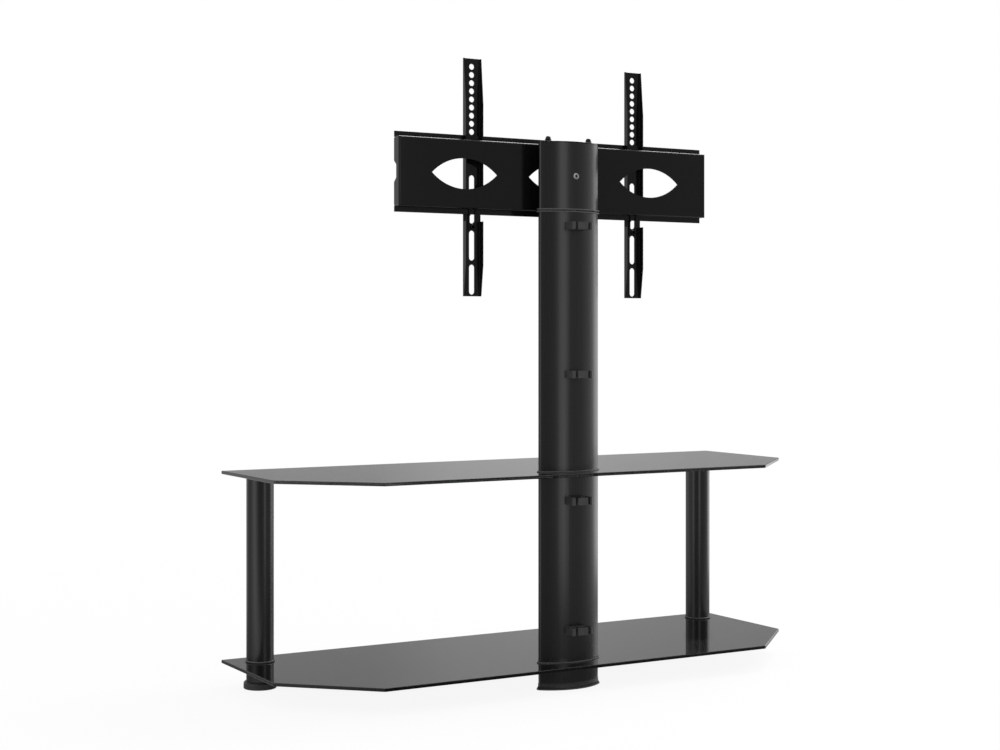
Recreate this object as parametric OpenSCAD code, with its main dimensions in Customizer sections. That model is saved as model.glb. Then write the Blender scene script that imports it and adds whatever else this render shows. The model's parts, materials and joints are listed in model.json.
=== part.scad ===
// Floor stand for a television: two glass shelves on a lens-shaped column and
// two round legs, with a steel mounting plate that turns on top of the column.
// Millimetres. Origin at the centre of the floor area, X along the width,
// the screen side faces -Y, Z up. Left is the stand's own left, towards +X.

/* [Shelves] */
// Width of both glass shelves
shelf_w = 1100; // [980:10:1300]
// Depth of both glass shelves
shelf_d = 384; // [340:2:460]
// Thickness of the glass
glass_t = 6; // [5:0.5:10]
// Width of the polished chamfer along the edges of the glass
glass_arris = 0.8; // [0.4:0.1:1.5]
// Length of the slanted rear corner along the width
corner_cut_w = 144.5; // [60:0.5:220]
// Length of the slanted rear corner along the depth
corner_cut_d = 138.6; // [60:0.2:180]
// Height of the lower shelf's underside above the floor
lower_clear = 42.5; // [40:0.5:80]
// Clear height between the two shelves
shelf_gap = 340.5; // [240:0.5:420]

/* [Legs] */
// Outside diameter of the leg tubes
leg_d = 50; // [40:0.2:60]
// Wall of the leg tubes
leg_wall = 1.6; // [1.2:0.1:3]
// Distance from the shelf's side to the leg's axis
leg_inset_side = 56.6; // [45:0.2:90]
// Distance from the shelf's front edge to the leg's axis
leg_inset_front = 47; // [40:0.5:90]
// How far the ring under a leg stands out past the tube
leg_ring_lip = 2; // [1:0.1:4]
// Thickness of the ring under a leg
leg_ring_t = 3; // [1.6:0.1:4]

/* [Feet] */
// Diameter of a levelling foot
foot_d = 60; // [54:1:72]
// Height of a levelling foot
foot_h = 13.5; // [10:0.5:18]
// Radius of the foot's rounded shoulder
foot_round = 4.5; // [2:0.5:6]
// How far a foot can be screwed out
foot_travel = 8; // [4:1:10]

/* [Column] */
// Width of the column's lens-shaped section
column_w = 126.8; // [116:0.2:150]
// Depth of the column's section, front to back
column_d = 53; // [50:0.5:64]
// Radius of the section's two narrow ends
column_nose_r = 5.8; // [3.5:0.1:6.5]
// Wall of the column's sections
column_wall = 2.2; // [1.6:0.1:3]
// Distance from the shelf's back edge to the column's axis
column_setback = 65; // [45:1:90]
// Distance between the two tie rods
tie_spacing = 87; // [82:0.5:92]
// Diameter of the tie rods
tie_d = 8; // [6:0.5:8]
// Length of the section above the upper shelf
upper_len = 470.4; // [300:0.2:650]
// Thickness of the rings that stand on the glass
ring_t = 2; // [1.5:0.1:4]
// How far the rings stand out past the column
ring_lip = 2.6; // [1:0.1:4]
// Height of the flared base
base_h = 12; // [11:0.5:16]
// How far the base flares out at the floor
base_flare = 2.5; // [2:0.5:8]

/* [Swivel head] */
// Length of the turning section beyond the height of the plate's web
head_over = -2.9; // [-4:0.1:30]
// Thickness of each swivel plate
swivel_t = 2.5; // [2:0.1:4]
// Thickness of the friction washer between the swivel plates
swivel_gap = 1; // [0.6:0.1:2]
// How far the head turns to each side, in degrees
swivel_reach = 20; // [10:1:25]
// Diameter of the pivot bolt
pivot_d = 12; // [10:1:12]
// Thickness of the cap on the head
cap_t = 2.5; // [2:0.1:4]
// Diameter of the studs that hold the head together
head_stud_d = 6; // [5:0.5:6]

/* [Mounting plate] */
// Width of the mounting plate
plate_w = 664; // [500:2:800]
// Height of the plate's flat web
plate_h = 123; // [112:0.5:130]
// Depth of the plate's channel
plate_depth = 20; // [17:0.5:26]
// Thickness of the plate's sheet steel
plate_t = 2; // [1.5:0.1:2.5]
// Inner radius of the plate's bends
plate_bend_r = 0.9; // [0.8:0.1:2]
// Height of the lips that the arms hang on
lip_h = 9.8; // [8:0.1:14]
// Gap between the rim of the swivel and the plate
plate_gap = 0.1; // [0.1:0.1:3]
// Height of the web's lower edge above the turning section's lower end
plate_lift = -2.25; // [-2.5:0.25:1]
// Width of an eye-shaped opening
eye_w = 133.4; // [90:0.2:140]
// Height of an eye-shaped opening
eye_h = 55; // [40:0.5:58]
// Distance between the eye-shaped openings
eye_pitch = 200; // [170:5:230]

/* [Arms] */
// Length of an arm
arm_len = 429.5; // [400:0.5:460]
// Width of an arm
arm_w = 36.4; // [31:0.2:44]
// Depth of an arm's flanges
arm_depth = 12.5; // [11.5:0.1:14]
// Depth of an arm's flanges at its ends
arm_end_depth = 5; // [3:0.5:8]
// Thickness of an arm's sheet steel
arm_t = 1.8; // [1.5:0.1:2]
// Distance between the two arms as shown
arm_spacing = 350; // [300:5:400]
// How far an arm stands above the plate's upper lip
arm_rise = 139.3; // [130:0.1:150]
// Number of round holes in an arm
hole_count = 9; // [6:1:9]
// Diameter of the round holes
hole_d = 10.5; // [8:0.1:12]
// Distance between the round holes
hole_pitch = 14.7; // [13:0.1:15.5]
// Width of an arm's slots
slot_w = 11; // [8:0.2:12]
// Length of the slot behind the plate
long_slot = 87; // [70:0.5:92]
// Distance from the plate's lower lip down to the two lower slots
lock_drop = 28.9; // [26:0.1:32]

/* [Cable clips] */
// Width of a cable clip
clip_w = 43; // [40:1:56]
// Height of a cable clip
clip_h = 13.5; // [10:0.5:22]
// Space inside a cable clip, measured from the column
clip_space = 21; // [12:0.5:24]
// Distance from the swivel down to the top clip
clip_top_drop = 25.5; // [20:0.5:60]
// Distance from the swivel down to the second clip
clip_upper_drop = 294.9; // [120:0.1:296]
// Distance from the upper shelf down to the third clip
clip_lower_drop = 46; // [20:1:90]
// Height of the bottom clip above the lower shelf
clip_bottom_rise = 59.5; // [20:0.5:100]

/* [Hidden] */
$fn = 96;

// Clearances
cut = 1;            // overrun of every through cut
fit = 0.05;         // round fit of rods, bolts and pins in their holes
slip = 0.3;         // play between pieces that slide
seat = 0.2;         // play where an arm hangs on its lip

// Heights up the stand
lower_top = lower_clear + glass_t;
upper_z = lower_top + shelf_gap;
upper_top = upper_z + glass_t;
gasket_t = 1;
swivel_z = upper_top + ring_t + upper_len;
swivel_top_z = swivel_z + swivel_t + swivel_gap;
head_z = swivel_top_z + swivel_t;
head_len = plate_h + head_over;
cap_z = head_z + head_len;
plate_z = head_z + plate_lift + plate_h / 2;

// Places on the floor plan
leg_x = shelf_w / 2 - leg_inset_side;
leg_y = leg_inset_front - shelf_d / 2;
column_y = shelf_d / 2 - column_setback;

// Bores of the column
port_wall = 3.4;
web_t = 2.4;
port_r = tie_d / 2 + port_wall + cut;
port_bore_r = tie_d / 2 + cut;
sleeve_wall = 1.8;
sleeve_len = 9;
sleeve_play = 0.1;
glass_hole_play = 1.5;

// Base and its nuts
base_edge_share = 0.2;
base_flare_share = 0.7;
washer_t = 1.6;
tie_nut_af = tie_d * 1.625;
tie_nut_h = tie_d * 0.8;
nut_recess = washer_t + tie_nut_h + seat * 3;
nut_recess_r = tie_d * 1.15;
washer_r = tie_d * 1.05;

// Swivel
pivot_head_af = pivot_d * 1.5;
pivot_head_h = pivot_d * 0.6;
pivot_nut_h = pivot_d * 0.8;
pivot_washer_r = pivot_d * 1.15;
pivot_washer_t = 1.5;
spring_t = 1;
spring_h = 2;
pivot_end = 2;
stop_r = 3;
stop_radius = 18.5;
stop_rise = 4;

// Cap nuts on the head
cap_nut_af = head_stud_d * 1.7;
cap_nut_hex_h = head_stud_d * 0.8;
cap_nut_h = head_stud_d * 1.75;
cap_nut_wall = 1.4;

// Fastening of the plate to the head
plate_bolt_d = 6;
plate_bolt_x = 25;
plate_bolt_edge = 16;
bolt_head_af = plate_bolt_d * 1.66;
bolt_head_h = plate_bolt_d * 0.66;
bolt_washer_r = plate_bolt_d;
bolt_washer_t = 1.2;
core_half_w = 32;
core_back = 12;
core_end = 7;
core_play = 0.2;
saddle_half_w = 38;
saddle_edge = 4;
saddle_h = 24.5;
back_bolt_head_r = 5.75;
back_bolt_head_h = 1.4;
back_bolt_socket_r = 2.3;
back_bolt_socket_h = 1.2;

// Mounting plate
web_back = column_y - column_d / 2 - ring_lip - plate_gap;
lip_front = web_back - plate_depth;
lip_back = lip_front + plate_t;
lip_top = plate_z + plate_h / 2 + lip_h;
lip_bottom = plate_z - plate_h / 2 - lip_h;
eye_r = (eye_w * eye_w + eye_h * eye_h) / (4 * eye_h);
corner_relief = 0.3;
side_notch_h = 38;
side_notch_inner_h = 23;
side_notch_d = 8.5;

// Arms, from the front of the web backwards
arm_back = lip_front - slip;
arm_front = arm_back - arm_t;
arm_top = lip_top + arm_rise;
arm_z = arm_top - arm_len;
arm_bend_r = 0.5;
taper_top_share = 0.56;
taper_bottom_share = 0.422;
first_hole = 14.8;
slot_end = 3.2;
slot_bridge = 7.5;
lock_bridge = 13;
hang_play = 2;
hang_lift = lip_h + seat + hang_play;
lock_z = lip_bottom - lock_drop;
short_slot = (lock_z - arm_z - slot_end - slot_bridge) / 2;
slot_b_z = lock_z - short_slot;
slot_c_z = lock_z + lock_bridge;

// Lock fork under the plate
fork_half_w = 8.2;
fork_slot_half_w = 5;
fork_t = 2;
lock_screw_d = 5;
lock_head_r = 4.6;
lock_head_h = 2.6;

// Leg inserts
stud_d = 8;
plug_len = 12;
plug_play = 0.1;
disc_t = 3;
disc_inset = 1.4;
foot_stud_sink = 8;
foot_stud_hold = 4;
neck_plug_gap = 1;
stud_gap = 4;
foot_stud_len = foot_stud_sink + neck_plug_gap + foot_travel + foot_stud_hold;
foot_stud_top = foot_h - foot_stud_sink + foot_stud_len;

// Cable clips
clip_wall = 3;
clip_base_t = 2.5;
clip_hook_share = 0.13;
clip_mouth_share = 0.12;
clip_tongue_share = 0.5 - clip_hook_share - clip_mouth_share;
clip_screw_d = 3.5;
clip_screw_head_r = 3;
clip_screw_head_h = 1.5;
clip_screw_len = 8;
clip_screw_x = clip_w * (clip_tongue_share + clip_mouth_share / 2);
clip_screw_y = column_d / 2 + clip_base_t;
clip_zs = [
    swivel_z - clip_top_drop, swivel_z - clip_upper_drop,
    upper_z - clip_lower_drop, lower_top + clip_bottom_rise
];

// Radius of the long arcs of a lens that is w wide and d deep with round ends
function lens_r(w, d, n) =
    (pow(w / 2 - n, 2) + pow(d / 2, 2) - n * n) / (d - 2 * n);

// Lens outline: two long arcs that run tangent into two small round ends
module lens(w, d, n) {
    r = lens_r(w, d, n);
    c = w / 2 - n;
    h = r - d / 2;
    intersection() {
        translate([0, h]) circle(r);
        translate([0, -h]) circle(r);
        square([2 * c * r / (r - n), d], center = true);
    }
    for (s = [-1, 1]) translate([s * c, 0]) circle(n);
}

// The column's outline, moved out by grow on every side
module column_outline(grow = 0) {
    lens(column_w + 2 * grow, column_d + 2 * grow, column_nose_r + grow);
}

// Puts a piece on the column's axis at the given height
module on_column(z) {
    translate([0, column_y, z]) children();
}

// Places a piece at both tie rods
module at_ties() {
    for (s = [-1, 1]) translate([s * tie_spacing / 2, 0, 0]) children();
}

// Hexagonal prism, af across its flats
module hexagon(af, h) {
    cylinder(r = af / sqrt(3), h = h, $fn = 6);
}

// Cylinder along Y from y0 to y1
module along_y(r, y0, y1) {
    translate([0, y0, 0]) rotate([-90, 0, 0]) cylinder(r = r, h = y1 - y0);
}

// Ring with a square section
module ring(r_out, r_in, h) {
    difference() {
        cylinder(r = r_out, h = h);
        translate([0, 0, -cut]) cylinder(r = r_in, h = h + 2 * cut);
    }
}

// Extruded section of the column: outer wall, two webs and two rod ports
module column_section(len) {
    linear_extrude(height = len) {
        difference() {
            intersection() {
                column_outline();
                union() {
                    difference() {
                        column_outline();
                        column_outline(-column_wall);
                    }
                    for (s = [-1, 1]) translate([s * tie_spacing / 2, 0]) {
                        circle(port_r);
                        square([web_t, column_d], center = true);
                    }
                }
            }
            for (s = [-1, 1]) translate([s * tie_spacing / 2, 0]) circle(port_bore_r);
        }
    }
}

// Rubber or plastic ring of the column's outline, open inside
module lens_ring(grow, h) {
    linear_extrude(height = h) difference() {
        column_outline(grow);
        column_outline(-2 * column_wall);
    }
}

// Corners of both shelves, anticlockwise
shelf_points = [
    [-shelf_w / 2, -shelf_d / 2], [shelf_w / 2, -shelf_d / 2],
    [shelf_w / 2, shelf_d / 2 - corner_cut_d], [shelf_w / 2 - corner_cut_w, shelf_d / 2],
    [corner_cut_w - shelf_w / 2, shelf_d / 2], [-shelf_w / 2, shelf_d / 2 - corner_cut_d]
];

// Wedge that takes the sharp edge off the glass between corners a and b
module arris_wedge(a, b) {
    run = b - a;
    translate(a) rotate([0, 0, atan2(run[1], run[0])]) rotate([90, 0, 90])
        translate([0, 0, -cut]) linear_extrude(height = norm(run) + 2 * cut) polygon([
            [-cut, -cut], [glass_arris + cut, -cut], [-cut, glass_arris + cut]
        ]);
}

// Glass shelf with chamfered edges and holes for the tie rods
module glass_shelf(z) {
    translate([0, 0, z]) difference() {
        linear_extrude(height = glass_t) polygon(shelf_points);
        for (n = [0 : len(shelf_points) - 1]) {
            a = shelf_points[n];
            b = shelf_points[(n + 1) % len(shelf_points)];
            arris_wedge(a, b);
            translate([0, 0, glass_t]) mirror([0, 0, 1]) arris_wedge(a, b);
        }
        translate([0, column_y, -cut]) at_ties()
            cylinder(r = tie_d / 2 + glass_hole_play, h = glass_t + 2 * cut);
        children();
    }
}

module lower_shelf() {
    color("dimgray") glass_shelf(lower_clear)
        for (s = [-1, 1]) translate([s * leg_x, leg_y, -cut])
            cylinder(r = stud_d / 2 + glass_hole_play, h = glass_t + 2 * cut);
}

module upper_shelf() {
    color("gray") glass_shelf(upper_z);
}

// Round body of radius r that flares out in a hollow curve at the floor
module flared_disc(r) {
    edge = base_h * base_edge_share;
    rise = base_h * base_flare_share;
    sweep = (pow(rise - edge, 2) + pow(base_flare, 2)) / (2 * base_flare);
    rotate_extrude() difference() {
        union() {
            square([r, base_h]);
            square([r + base_flare, rise]);
        }
        translate([r + sweep, rise]) circle(sweep);
    }
}

// The base is the lens again, so it is what three flared discs have in common
module base_casting() {
    r = lens_r(column_w, column_d, column_nose_r);
    color("black") on_column(0) difference() {
        intersection() {
            translate([0, r - column_d / 2, 0]) flared_disc(r);
            translate([0, column_d / 2 - r, 0]) flared_disc(r);
            flared_disc(column_w / 2);
        }
        at_ties() {
            translate([0, 0, -cut]) cylinder(r = nut_recess_r, h = nut_recess + cut);
            translate([0, 0, -cut]) cylinder(r = tie_d / 2 + fit, h = base_h + 2 * cut);
        }
    }
}

module column_foot() {
    color("dimgray") on_column(base_h) column_section(lower_clear - gasket_t - base_h);
}

module foot_gasket() {
    color("black") on_column(lower_clear - gasket_t) lens_ring(0, gasket_t);
}

module lower_ring() {
    color("black") on_column(lower_top) lens_ring(ring_lip, ring_t);
}

// Places a piece at the two screws of a clip, each behind one of its mouths
module at_clip_screws(z) {
    for (s = [-1, 1]) translate([s * clip_screw_x, column_y, z]) children();
}

// Holes for the clip screws in the back wall of a section
module clip_screw_holes(zs) {
    for (z = zs) at_clip_screws(z)
        along_y(clip_screw_d / 2 + fit, clip_screw_y - clip_screw_len, clip_screw_y);
}

module column_lower() {
    color("dimgray") difference() {
        on_column(lower_top + ring_t) column_section(shelf_gap - ring_t - gasket_t);
        clip_screw_holes([clip_zs[2], clip_zs[3]]);
    }
}

module mid_gasket() {
    color("black") on_column(upper_z - gasket_t) lens_ring(0, gasket_t);
}

module upper_ring() {
    color("black") on_column(upper_top) lens_ring(ring_lip, ring_t);
}

// Wider mouths of the rod ports, for the sleeves of the swivel base
module sleeve_mouths() {
    at_ties() cylinder(r = tie_d / 2 + sleeve_wall + sleeve_play, h = sleeve_len + 2 * cut);
}

module column_upper() {
    color("dimgray") difference() {
        on_column(upper_top + ring_t) column_section(upper_len);
        on_column(swivel_z - sleeve_len - cut) sleeve_mouths();
        clip_screw_holes([clip_zs[0], clip_zs[1]]);
    }
}

module tie_rods() {
    color("silver") on_column(nut_recess - washer_t - tie_nut_h) at_ties()
        cylinder(r = tie_d / 2, h = swivel_z - nut_recess + washer_t + tie_nut_h);
}

module tie_washers() {
    color("silver") on_column(nut_recess - washer_t) at_ties()
        ring(washer_r, tie_d / 2 + fit, washer_t);
}

module tie_nuts() {
    color("silver") on_column(nut_recess - washer_t - tie_nut_h) at_ties() difference() {
        hexagon(tie_nut_af, tie_nut_h);
        translate([0, 0, -cut]) cylinder(r = tie_d / 2 + fit, h = tie_nut_h + 2 * cut);
    }
}

// Lens-shaped swivel plate with a pivot hole
module swivel_lens() {
    difference() {
        linear_extrude(height = swivel_t) column_outline(ring_lip);
        translate([0, 0, -cut]) cylinder(r = pivot_d / 2 + fit, h = swivel_t + 2 * cut);
    }
}

// Threaded sleeves that stand in the mouths of the rod ports
module sleeves(rod_d) {
    at_ties() ring(rod_d / 2 + sleeve_wall, rod_d / 2 + fit, sleeve_len);
}

module swivel_base() {
    color("black") on_column(swivel_z) {
        difference() {
            swivel_lens();
            translate([0, stop_radius, -cut]) cylinder(r = stop_r + fit, h = swivel_t + 2 * cut);
        }
        translate([0, 0, -sleeve_len]) sleeves(tie_d);
    }
}

module stop_pin() {
    color("silver") on_column(swivel_z) translate([0, stop_radius, 0])
        cylinder(r = stop_r, h = head_z - swivel_z + stop_rise);
}

module friction_washer() {
    color("white") on_column(swivel_z + swivel_t)
        ring(pivot_washer_r, pivot_d / 2 + fit, swivel_gap);
}

// Curved slot that the stop pin runs in, with flat ends that the pin meets
module stop_slot(h) {
    slot_r = stop_r + slip;
    reach = 2 * stop_radius;
    end = swivel_reach + asin(slot_r / stop_radius);
    intersection() {
        difference() {
            cylinder(r = stop_radius + slot_r, h = h);
            cylinder(r = stop_radius - slot_r, h = h);
        }
        linear_extrude(height = h) polygon([
            [0, 0], [-reach * sin(end), reach * cos(end)], [reach * sin(end), reach * cos(end)]
        ]);
    }
}

module swivel_plate() {
    color("black") on_column(swivel_top_z) {
        difference() {
            swivel_lens();
            translate([0, 0, -cut]) stop_slot(swivel_t + 2 * cut);
        }
        translate([0, 0, swivel_t]) sleeves(head_stud_d);
    }
}

module pivot_bolt() {
    top = head_z + pivot_washer_t + spring_h + pivot_nut_h + pivot_end;
    color("silver") on_column(swivel_z) {
        translate([0, 0, -pivot_head_h]) hexagon(pivot_head_af, pivot_head_h);
        cylinder(r = pivot_d / 2, h = top - swivel_z);
    }
}

module pivot_washer() {
    color("white") on_column(head_z)
        ring(pivot_washer_r, pivot_d / 2 + fit, pivot_washer_t);
}

// Conical disc spring that keeps the swivel tight
module pivot_spring() {
    r_in = pivot_d / 2 + 2 * fit;
    color("silver") on_column(head_z + pivot_washer_t) rotate_extrude() polygon([
        [r_in, spring_h - spring_t], [pivot_washer_r, 0],
        [pivot_washer_r, spring_t], [r_in, spring_h]
    ]);
}

module pivot_nut() {
    color("silver") on_column(head_z + pivot_washer_t + spring_h) difference() {
        hexagon(pivot_head_af, pivot_nut_h);
        translate([0, 0, -cut]) cylinder(r = pivot_d / 2 + fit, h = pivot_nut_h + 2 * cut);
    }
}

// Places a piece at the four bolts that hold the plate
module at_plate_bolts() {
    for (x = [-1, 1], z = [-1, 1])
        translate([x * plate_bolt_x, 0, plate_z + z * (plate_h / 2 - plate_bolt_edge)])
            children();
}

module column_head() {
    color("dimgray") difference() {
        on_column(head_z) column_section(head_len);
        at_plate_bolts() along_y(plate_bolt_d / 2 + slip, column_y - column_d / 2 - cut, column_y);
        translate([0, 0, plate_z]) along_y(plate_bolt_d / 2 + slip, column_y, column_y + column_d);
    }
}

module head_cap() {
    color("black") on_column(cap_z) difference() {
        linear_extrude(height = cap_t) column_outline();
        translate([0, 0, -cut]) at_ties()
            cylinder(r = head_stud_d / 2 + fit, h = cap_t + 2 * cut);
    }
}

module head_studs() {
    color("silver") on_column(head_z) at_ties()
        cylinder(r = head_stud_d / 2, h = head_len + cap_t + cap_nut_h - 2 * cap_nut_wall);
}

// Domed nuts that close the studs on top of the head
module cap_nuts() {
    dome_r = cap_nut_af / 2 - seat;
    color("gray") on_column(cap_z + cap_t) at_ties() difference() {
        union() {
            hexagon(cap_nut_af, cap_nut_hex_h);
            cylinder(r = dome_r, h = cap_nut_h - dome_r);
            translate([0, 0, cap_nut_h - dome_r]) sphere(r = dome_r);
        }
        translate([0, 0, -cut])
            cylinder(r = head_stud_d / 2 + fit, h = cap_nut_h - 2 * cap_nut_wall + cut + fit);
    }
}

// Steel core behind the head's front wall that takes the plate's bolts
module head_core() {
    core_z = head_z + core_end;
    core_h = head_len - 2 * core_end;
    color("gray") difference() {
        on_column(core_z) intersection() {
            linear_extrude(height = core_h) column_outline(-column_wall - core_play);
            translate([-core_half_w, -column_d, 0])
                cube([2 * core_half_w, column_d - core_back, core_h]);
        }
        at_plate_bolts() along_y(plate_bolt_d / 2 + fit, column_y - column_d, column_y);
        translate([0, 0, plate_z]) along_y(plate_bolt_d / 2 + fit, column_y - column_d, column_y);
    }
}

module back_bolt() {
    back = column_y + column_d / 2;
    color("silver") translate([0, 0, plate_z]) difference() {
        union() {
            along_y(plate_bolt_d / 2, column_y - column_d / 2 + column_wall + 2 * cut, back + cut);
            along_y(back_bolt_head_r, back, back + back_bolt_head_h);
        }
        along_y(back_bolt_socket_r, back + back_bolt_head_h - back_bolt_socket_h,
                back + back_bolt_head_h + cut);
    }
}

// Blocks that give the curved column a flat seat for the plate
module saddle_blocks() {
    color("black") difference() {
        for (z = [plate_z - plate_h / 2 + saddle_edge, plate_z + plate_h / 2 - saddle_edge - saddle_h])
            translate([-saddle_half_w, web_back, z])
                cube([2 * saddle_half_w, column_d / 2, saddle_h]);
        on_column(head_z - cut) linear_extrude(height = head_len + 2 * cut)
            column_outline(core_play / 2);
        at_plate_bolts() along_y(plate_bolt_d / 2 + slip, web_back - cut, column_y);
    }
}

// Quarter of a bend in sheet of thickness t, turned to the given angle
module bend(r, t, angle) {
    intersection() {
        difference() {
            circle(r + t);
            circle(r);
        }
        rotate(angle) square(r + t);
    }
}

// Upper half of the plate's section: u runs forward from the web's back, v up
module hat_half() {
    b = plate_bend_r + plate_t;
    v = plate_h / 2;
    square([plate_t, v - b]);
    translate([b, v - b]) bend(plate_bend_r, plate_t, 90);
    translate([b, v - plate_t]) square([plate_depth - 2 * b, plate_t]);
    translate([plate_depth - b, v + plate_bend_r]) bend(plate_bend_r, plate_t, -90);
    translate([plate_depth - plate_t, v + plate_bend_r]) square([plate_t, lip_h - plate_bend_r]);
}

// What rounds off one rear corner of the channel, where the side flange bends
module corner_round() {
    b = plate_bend_r + plate_t;
    h = 2 * cut + plate_h;
    translate([plate_w / 2 - b, web_back - b, plate_z - h / 2]) difference() {
        cube([b + cut, b + cut, h]);
        cylinder(r = b, h = h);
    }
}

// The plate's channel with its two lips, along X
module hat_channel() {
    difference() {
        translate([-plate_w / 2, web_back, plate_z]) rotate([90, 0, 90])
            linear_extrude(height = plate_w) mirror([1, 0]) {
                hat_half();
                mirror([0, 1]) hat_half();
            }
        corner_round();
        mirror([1, 0, 0]) corner_round();
    }
}

// Flange bent from the web to close one side, with a notch for cables
module side_flange() {
    b = plate_bend_r + plate_t;
    half = plate_h / 2 - corner_relief - plate_t;
    out = side_notch_h / 2;
    inner = side_notch_inner_h / 2;
    edge = plate_depth - side_notch_d;
    translate([plate_w / 2 - plate_t, web_back, plate_z]) rotate([90, 0, 90])
        linear_extrude(height = plate_t) mirror([1, 0]) polygon([
            [b, -half], [plate_depth, -half], [plate_depth, -out], [edge, -inner],
            [edge, inner], [plate_depth, out], [plate_depth, half], [b, half]
        ]);
    translate([plate_w / 2 - b, web_back - b, plate_z - half])
        linear_extrude(height = 2 * half) bend(plate_bend_r, plate_t, 0);
}

// Eye-shaped opening through the web
module eye() {
    translate([0, web_back + cut, 0]) rotate([90, 0, 0])
        linear_extrude(height = plate_t + 2 * cut) intersection() {
            translate([0, eye_r - eye_h / 2]) circle(eye_r);
            translate([0, eye_h / 2 - eye_r]) circle(eye_r);
        }
}

module wall_plate() {
    color("black") difference() {
        union() {
            hat_channel();
            side_flange();
            mirror([1, 0, 0]) side_flange();
        }
        for (n = [-1, 0, 1]) translate([n * eye_pitch, 0, plate_z]) eye();
        at_plate_bolts() along_y(plate_bolt_d / 2 + slip, web_back - plate_t - cut, web_back + cut);
    }
}

module plate_washers() {
    front = web_back - plate_t;
    color("silver") at_plate_bolts() difference() {
        along_y(bolt_washer_r, front - bolt_washer_t, front);
        along_y(plate_bolt_d / 2 + fit, front - bolt_washer_t - cut, front + cut);
    }
}

module plate_bolts() {
    seat_y = web_back - plate_t - bolt_washer_t;
    color("gray") at_plate_bolts() {
        along_y(plate_bolt_d / 2, seat_y, column_y - core_back - cut);
        translate([0, seat_y, 0]) rotate([90, 0, 0]) hexagon(bolt_head_af, bolt_head_h);
    }
}

// Round-ended slot along Z through an arm's web
module arm_slot(z, len) {
    for (e = [slot_w / 2, len - slot_w / 2]) translate([0, 0, z + e])
        along_y(slot_w / 2, arm_front - cut, arm_back + cut);
    translate([-slot_w / 2, arm_front - cut, z + slot_w / 2])
        cube([slot_w, arm_t + 2 * cut, len - slot_w]);
}

// Upright channel of an arm before it is cut
module arm_channel() {
    b = arm_bend_r + arm_t;
    w = arm_w / 2;
    translate([0, arm_front, arm_z]) linear_extrude(height = arm_len) {
        translate([b - w, 0]) square([arm_w - 2 * b, arm_t]);
        for (m = [0, 1]) mirror([m, 0]) {
            translate([w - b, b]) bend(arm_bend_r, arm_t, -90);
            translate([w - arm_t, b]) square([arm_t, arm_depth - b]);
        }
    }
}

// Side view of an arm: tapered ends, hook over the upper lip, notch at the lower
module arm_side() {
    d = arm_depth;
    lip_room = lip_back + slip - arm_front;
    web = arm_t;
    hook_z = plate_z + plate_h / 2 + plate_bend_r + slip;
    inner_top = plate_z + plate_h / 2 - plate_t - hang_lift - seat;
    inner_bottom = plate_z - plate_h / 2 + plate_t + slip;
    notch_bottom = lip_bottom - hang_lift - slip;
    taper_top = (arm_top - hook_z) * taper_top_share;
    taper_bottom = (notch_bottom - arm_z) * taper_bottom_share;
    polygon([
        [0, arm_z], [arm_end_depth, arm_z], [d, arm_z + taper_bottom],
        [d, notch_bottom], [web, notch_bottom], [web, inner_bottom],
        [d, inner_bottom], [d, inner_top], [web, inner_top],
        [web, lip_top + seat], [lip_room, lip_top + seat], [lip_room, hook_z],
        [d, hook_z], [d, arm_top - taper_top], [arm_end_depth, arm_top],
        [0, arm_top]
    ]);
}

// One arm, centred on X = 0
module arm() {
    difference() {
        intersection() {
            arm_channel();
            translate([-arm_w, arm_front, 0]) rotate([90, 0, 90])
                linear_extrude(height = 2 * arm_w) arm_side();
        }
        for (n = [0 : hole_count - 1]) translate([0, 0, arm_top - first_hole - n * hole_pitch])
            along_y(hole_d / 2, arm_front - cut, arm_back + cut);
        arm_slot(arm_z + slot_end, short_slot);
        arm_slot(slot_b_z, short_slot);
        arm_slot(slot_c_z, long_slot);
        translate([0, 0, lock_z + lock_bridge / 2])
            along_y(lock_screw_d / 2 + fit, arm_front - cut, arm_back + cut);
    }
}

// Fork that is screwed to an arm and reaches up behind the lower lip
module lock_fork() {
    base_z = lock_z + slip;
    step_z = lip_bottom - slip - fork_t;
    prong_y = lip_back + slip;
    prong_top = plate_z - plate_h / 2 - plate_bend_r - 2 * slip;
    difference() {
        union() {
            translate([-fork_half_w, arm_back, base_z])
                cube([2 * fork_half_w, fork_t, step_z + fork_t - base_z]);
            translate([-fork_half_w, arm_back, step_z])
                cube([2 * fork_half_w, prong_y + fork_t - arm_back, fork_t]);
            translate([-fork_half_w, prong_y, step_z])
                cube([2 * fork_half_w, fork_t, prong_top - step_z]);
        }
        translate([-fork_slot_half_w, arm_back - cut, lock_z + lock_bridge])
            cube([2 * fork_slot_half_w, plate_depth, plate_h]);
        translate([0, 0, lock_z + lock_bridge / 2])
            along_y(lock_screw_d / 2 + fit, arm_back - cut, arm_back + fork_t + cut);
    }
}

module lock_screw() {
    head_y = arm_back + fork_t;
    translate([0, 0, lock_z + lock_bridge / 2]) {
        along_y(lock_screw_d / 2, arm_front, head_y);
        along_y(lock_head_r, head_y, head_y + lock_head_h);
    }
}

module arm_left() {
    color("black") translate([arm_spacing / 2, 0, 0]) arm();
}

module arm_right() {
    color("black") translate([-arm_spacing / 2, 0, 0]) arm();
}

module lock_fork_left() {
    color("dimgray") translate([arm_spacing / 2, 0, 0]) lock_fork();
}

module lock_fork_right() {
    color("dimgray") translate([-arm_spacing / 2, 0, 0]) lock_fork();
}

module lock_screw_left() {
    color("gray") translate([arm_spacing / 2, 0, 0]) lock_screw();
}

module lock_screw_right() {
    color("gray") translate([-arm_spacing / 2, 0, 0]) lock_screw();
}

// Puts a piece on a leg's axis: side is 1 on the left and -1 on the right
module at_leg(side, z) {
    translate([side * leg_x, leg_y, z]) children();
}

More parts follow.
